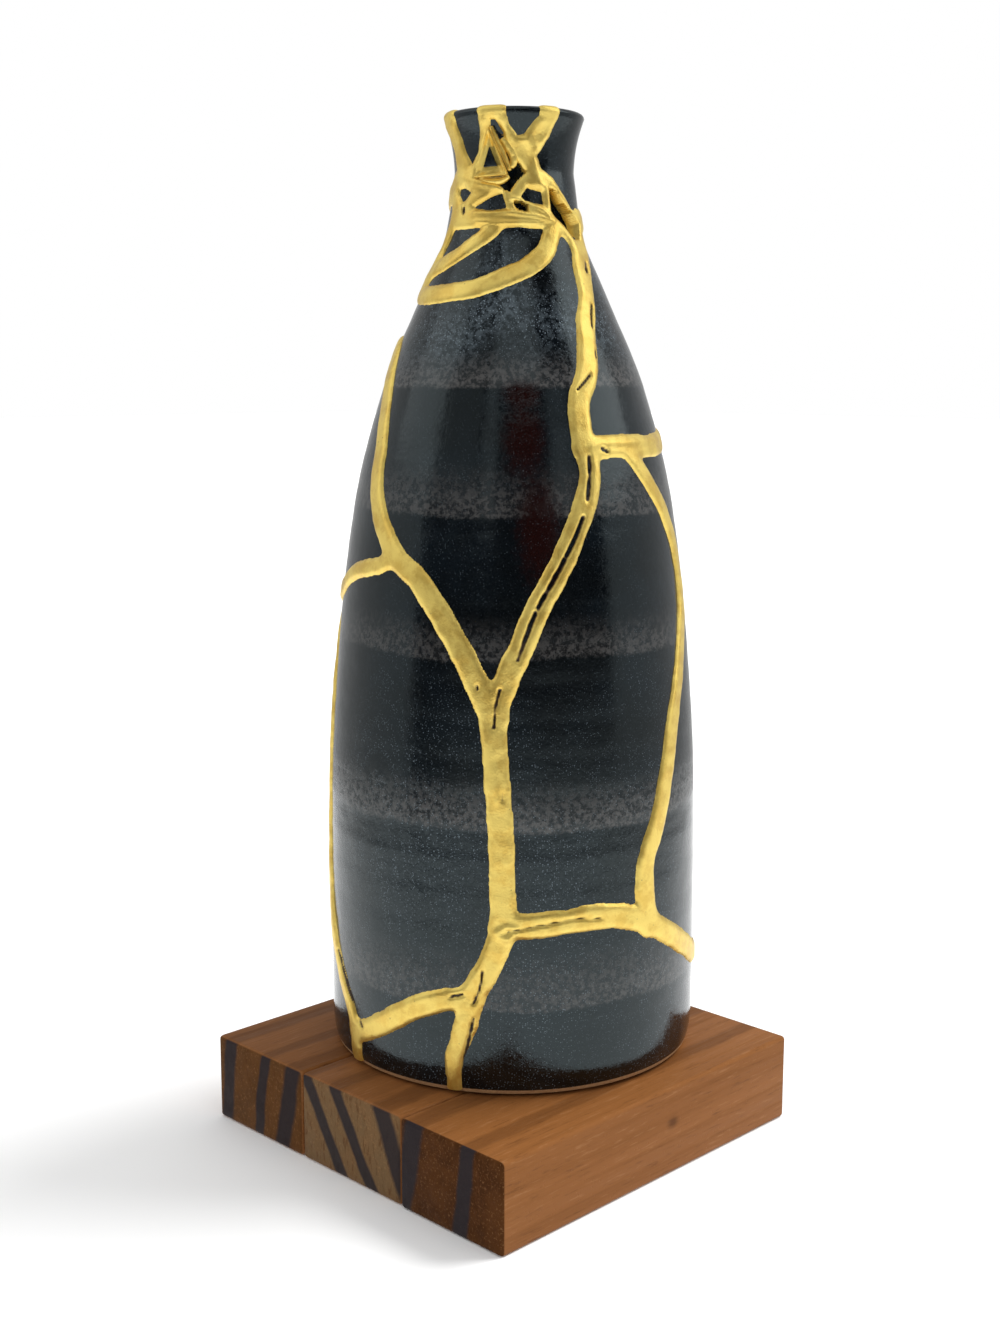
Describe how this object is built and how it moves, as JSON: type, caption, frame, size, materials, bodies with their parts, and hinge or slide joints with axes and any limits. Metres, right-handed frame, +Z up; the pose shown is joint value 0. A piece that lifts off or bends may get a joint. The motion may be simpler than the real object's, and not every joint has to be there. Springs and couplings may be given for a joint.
{
  "type": "kintsugi bottle vase",
  "caption": "Tall glazed bottle vase, broken and mended with raised gold seams, hollow and open at its flared lip, on a square wooden base glued up from staves.",
  "frame": {"origin": "centre of the wooden base's underside", "axes": "+Z up along the vase, +X along the staves' grain; the corner at -X -Y is the front"},
  "size_m": [0.1024, 0.1, 0.2432],
  "materials": {
    "glazed_stoneware": "glossy blue-black glaze with pale speckles and soft brown bands, bare clay at the foot",
    "gold": "satin gold, softly pitted and wrinkled",
    "wood": "lightly oiled warm brown wood with dark grain"
  },
  "bodies": {
    "root": {"sherd_base": "glazed_stoneware", "sherd_foot_front_left": "glazed_stoneware", "sherd_left_front_panel": "glazed_stoneware", "sherd_right_front_panel": "glazed_stoneware", "sherd_right_back_panel": "glazed_stoneware", "sherd_back_left_panel": "glazed_stoneware", "sherd_front_shoulder": "glazed_stoneware", "sherd_left_shoulder": "glazed_stoneware", "sherd_right_shoulder": "glazed_stoneware", "sherd_back_shoulder": "glazed_stoneware", "sherd_collar_front": "glazed_stoneware", "sherd_collar_left": "glazed_stoneware", "sherd_collar_back": "glazed_stoneware", "sherd_neck_chip_left": "glazed_stoneware", "sherd_neck_chip_middle": "glazed_stoneware", "sherd_neck_chip_right": "glazed_stoneware", "sherd_neck_fork": "glazed_stoneware", "sherd_neck_set_in": "glazed_stoneware", "sherd_rim_left": "glazed_stoneware", "sherd_rim_front": "glazed_stoneware", "sherd_rim_right": "glazed_stoneware", "sherd_rim_back": "glazed_stoneware", "sherd_rim_back_left": "glazed_stoneware", "gold_seams": "gold", "stave_front": "wood", "stave_middle": "wood", "stave_back": "wood"}
  },
  "joints": []
}
